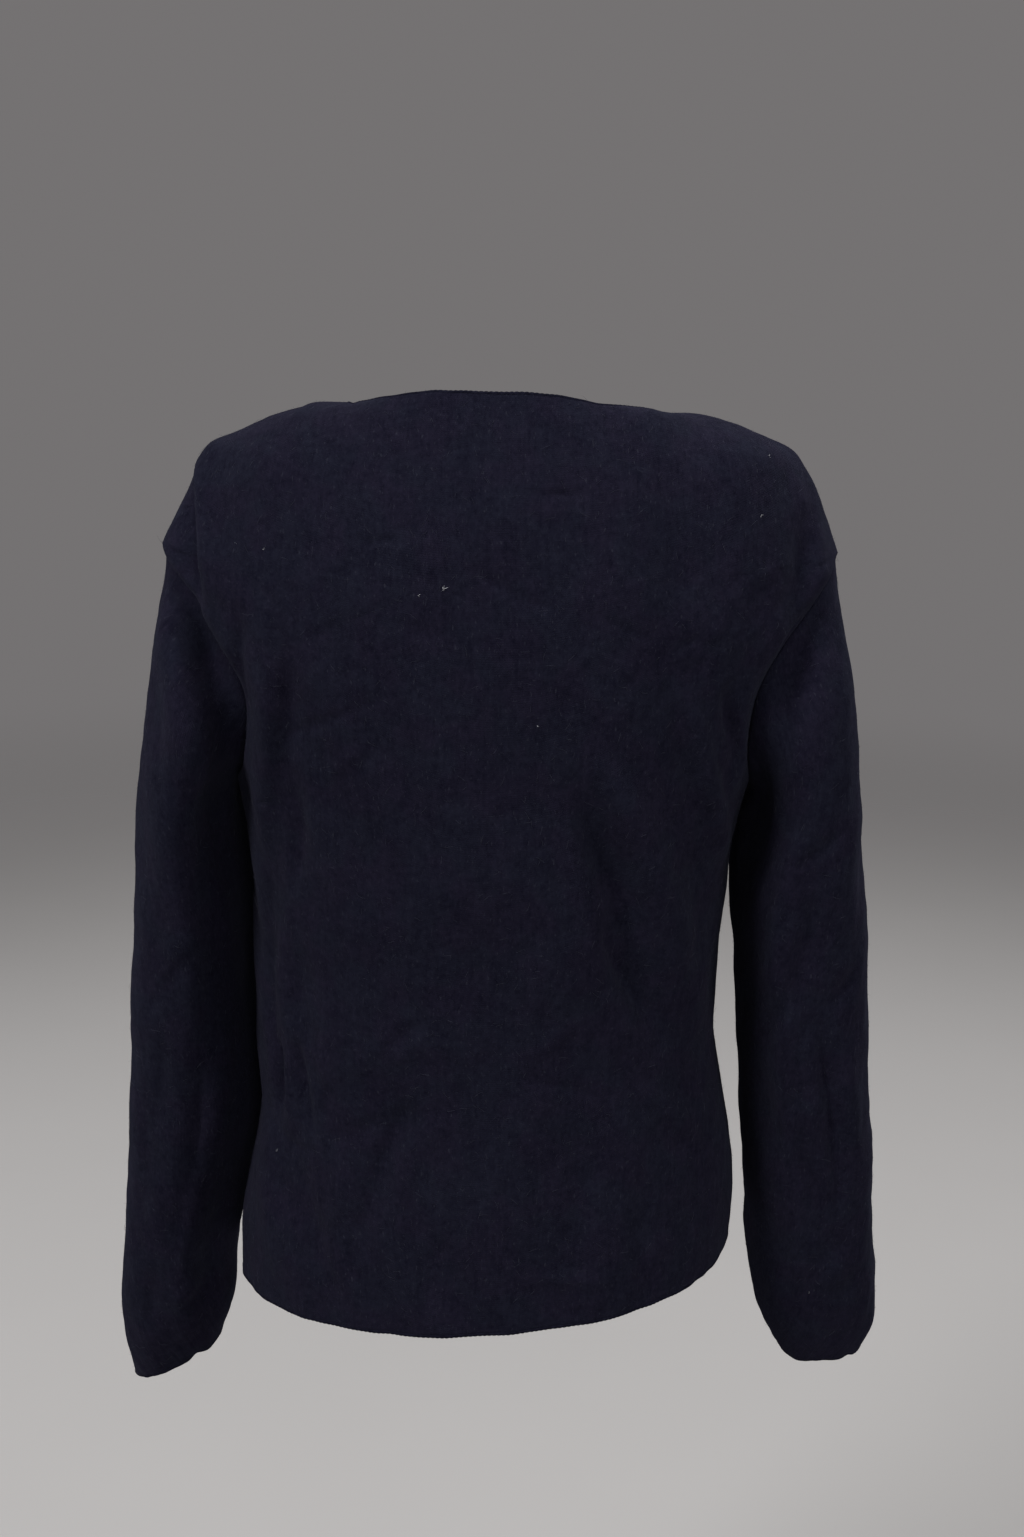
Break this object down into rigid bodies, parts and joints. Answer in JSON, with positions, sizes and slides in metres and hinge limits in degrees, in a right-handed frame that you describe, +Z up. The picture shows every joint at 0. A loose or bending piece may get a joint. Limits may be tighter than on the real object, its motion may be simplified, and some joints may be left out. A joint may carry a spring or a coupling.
{
  "type": "sweater",
  "caption": "Plain fine-knit wool pullover with a wide boat neck, dropped shoulders and long straight sleeves, in the hollow form it keeps when worn.",
  "frame": {"origin": "between the neck corners, at the height where the shoulders carry the garment", "axes": "+X to the wearer's left, +Y to the wearer's back, +Z up"},
  "size_m": [0.5426, 0.242, 0.7002],
  "materials": {
    "back_knit": "matt navy knitted wool with a short nap",
    "front_knit": "matt navy knitted wool with a short nap",
    "left_sleeve_knit": "matt navy knitted wool with a short nap",
    "right_sleeve_knit": "matt navy knitted wool with a short nap"
  },
  "bodies": {
    "root": {"back_panel": "back_knit", "front_panel": "front_knit", "sleeve_left": "left_sleeve_knit", "sleeve_right": "right_sleeve_knit"}
  },
  "joints": []
}
